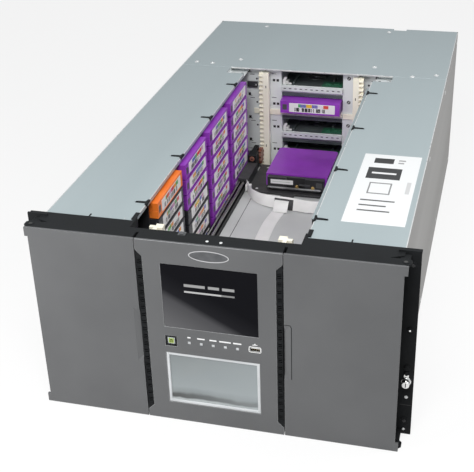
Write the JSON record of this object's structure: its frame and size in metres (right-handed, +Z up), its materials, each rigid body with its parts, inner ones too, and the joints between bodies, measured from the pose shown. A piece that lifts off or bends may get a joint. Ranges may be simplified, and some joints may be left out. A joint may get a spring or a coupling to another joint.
{
  "type": "tape library module",
  "caption": "Rack-mounted tape library module with its top open: doors in front, cartridge magazines at the sides, tape drives at the rear, and a robot that lifts, travels and swivels.",
  "frame": {"origin": "Middle of the underside of the module, under the centre of its overall box.", "axes": "+X to the right seen from the front, +Y from the doors to the rear, +Z up."},
  "size_m": [0.4826, 0.868, 0.262],
  "materials": {
    "body_metal": "satin",
    "front_grey": "satin",
    "black_plastic": "matte",
    "screen_black": "glossy",
    "window_surround": "satin",
    "window_glass": "glossy",
    "button_key": "satin",
    "light_pipe": "glossy",
    "bright_steel": "brushed",
    "drive_case": "satin",
    "drive_face": "satin",
    "purple_plastic": "satin",
    "black_tape": "satin",
    "orange_plastic": "satin",
    "magazine_plastic": "matte",
    "cream_plastic": "satin",
    "brown_plastic": "satin",
    "base_grey": "satin",
    "ribbon_white": "matte",
    "belt_rubber": "matte",
    "rail_aluminium": "satin"
  },
  "bodies": {
    "chassis": {"base_pan": "body_metal", "left_side_panel": "body_metal", "right_side_panel": "body_metal", "left_top_panel": "body_metal", "right_top_panel": "body_metal", "rear_top_cover": "body_metal", "rear_panel": "body_metal", "drive_bulkhead": "base_grey", "front_frame": "black_plastic", "centre_fascia": "front_grey", "centre_housing": "black_plastic", "touch_screen": "screen_black", "window_frame": "window_surround", "window_pane": "window_glass", "status_lights": "light_pipe", "usb_port": "bright_steel", "vent_grilles": "black_plastic", "hinge_pins": "bright_steel", "left_magazine": "magazine_plastic", "right_magazine": "magazine_plastic", "magazine_fronts": "magazine_plastic", "magazine_rails": "body_metal", "purple_cartridges": "purple_plastic", "black_cartridges": "black_tape", "cleaning_cartridge": "orange_plastic", "front_lift_racks": "cream_plastic", "rear_lift_racks": "cream_plastic", "power_supplies": "drive_case", "rear_sockets": "black_plastic", "controller_module": "drive_case", "tape_drive_1": "drive_face", "tape_drive_2": "drive_face", "tape_drive_3": "drive_face", "tape_drive_4": "drive_face", "tape_drive_5": "drive_face", "tape_drive_6": "drive_face"},
    "left_door": {"left_door_panel": "front_grey", "left_door_liner": "black_plastic"},
    "right_door": {"right_door_panel": "front_grey", "right_door_liner": "black_plastic"},
    "power_key": {"power_button": "button_key"},
    "lift": {"robot_base_plate": "base_grey", "left_guide_beam": "black_plastic", "guide_rods": "bright_steel", "right_guide_rail": "rail_aluminium", "lift_end_blocks": "black_plastic", "carriage_belt": "belt_rubber", "lift_motors": "bright_steel", "trailing_ribbon": "ribbon_white"},
    "rear_pinions": {"rear_lift_pinions": "brown_plastic"},
    "front_pinions": {"front_lift_pinions": "brown_plastic"},
    "front_pulley": {"front_belt_pulley": "brown_plastic"},
    "rear_pulley": {"rear_belt_pulley": "brown_plastic"},
    "carriage": {"picker_carriage": "black_plastic", "cross_ribbon": "ribbon_white"},
    "picker": {"turntable": "rail_aluminium", "picker_tray": "black_plastic", "gripper": "black_plastic", "picked_cartridge": "purple_plastic"}
  },
  "joints": [
    {"name": "left_door_hinge", "type": "hinge", "parent": "chassis", "child": "left_door", "pos_m": [-0.226, -0.422, 0.13125], "axis": [0, 0, -1], "range_deg": [0, 110]},
    {"name": "right_door_hinge", "type": "hinge", "parent": "chassis", "child": "right_door", "pos_m": [0.226, -0.422, 0.13125], "axis": [0, 0, 1], "range_deg": [0, 110]},
    {"name": "power_press", "type": "slide", "parent": "chassis", "child": "power_key", "axis": [0, 1, 0], "range_m": [0, 0.002], "stiffness_N_per_m": 500, "springref_m": -0.001},
    {"name": "lift_slide", "type": "slide", "parent": "chassis", "child": "lift", "axis": [0, 0, 1], "range_m": [-0.086, 0.129]},
    {"name": "rear_pinion_turn", "type": "hinge", "parent": "lift", "child": "rear_pinions", "pos_m": [0, 0.1655, 0.1035], "axis": [1, 0, 0], "range_deg": [-700, 700]},
    {"name": "front_pinion_turn", "type": "hinge", "parent": "lift", "child": "front_pinions", "pos_m": [0, -0.3615, 0.1035], "axis": [1, 0, 0], "range_deg": [-700, 700]},
    {"name": "carriage_slide", "type": "slide", "parent": "lift", "child": "carriage", "axis": [0, -1, 0], "range_m": [0, 0.3795]},
    {"name": "front_pulley_turn", "type": "hinge", "parent": "lift", "child": "front_pulley", "pos_m": [-0.0905, -0.31, 0.094], "axis": [0, 0, 1], "continuous": true},
    {"name": "rear_pulley_turn", "type": "hinge", "parent": "lift", "child": "rear_pulley", "pos_m": [-0.0905, 0.114, 0.094], "axis": [0, 0, 1], "continuous": true},
    {"name": "picker_swivel", "type": "hinge", "parent": "carriage", "child": "picker", "pos_m": [0, 0.1125, 0.094], "axis": [0, 0, 1], "range_deg": [-90, 90]}
  ],
  "couplings": [
    {"joint": "rear_pinion_turn", "follows": "lift_slide", "rad_per_m": -80},
    {"joint": "front_pinion_turn", "follows": "lift_slide", "rad_per_m": 80},
    {"joint": "front_pulley_turn", "follows": "carriage_slide", "rad_per_m": -175.44},
    {"joint": "rear_pulley_turn", "follows": "carriage_slide", "rad_per_m": -175.44}
  ]
}
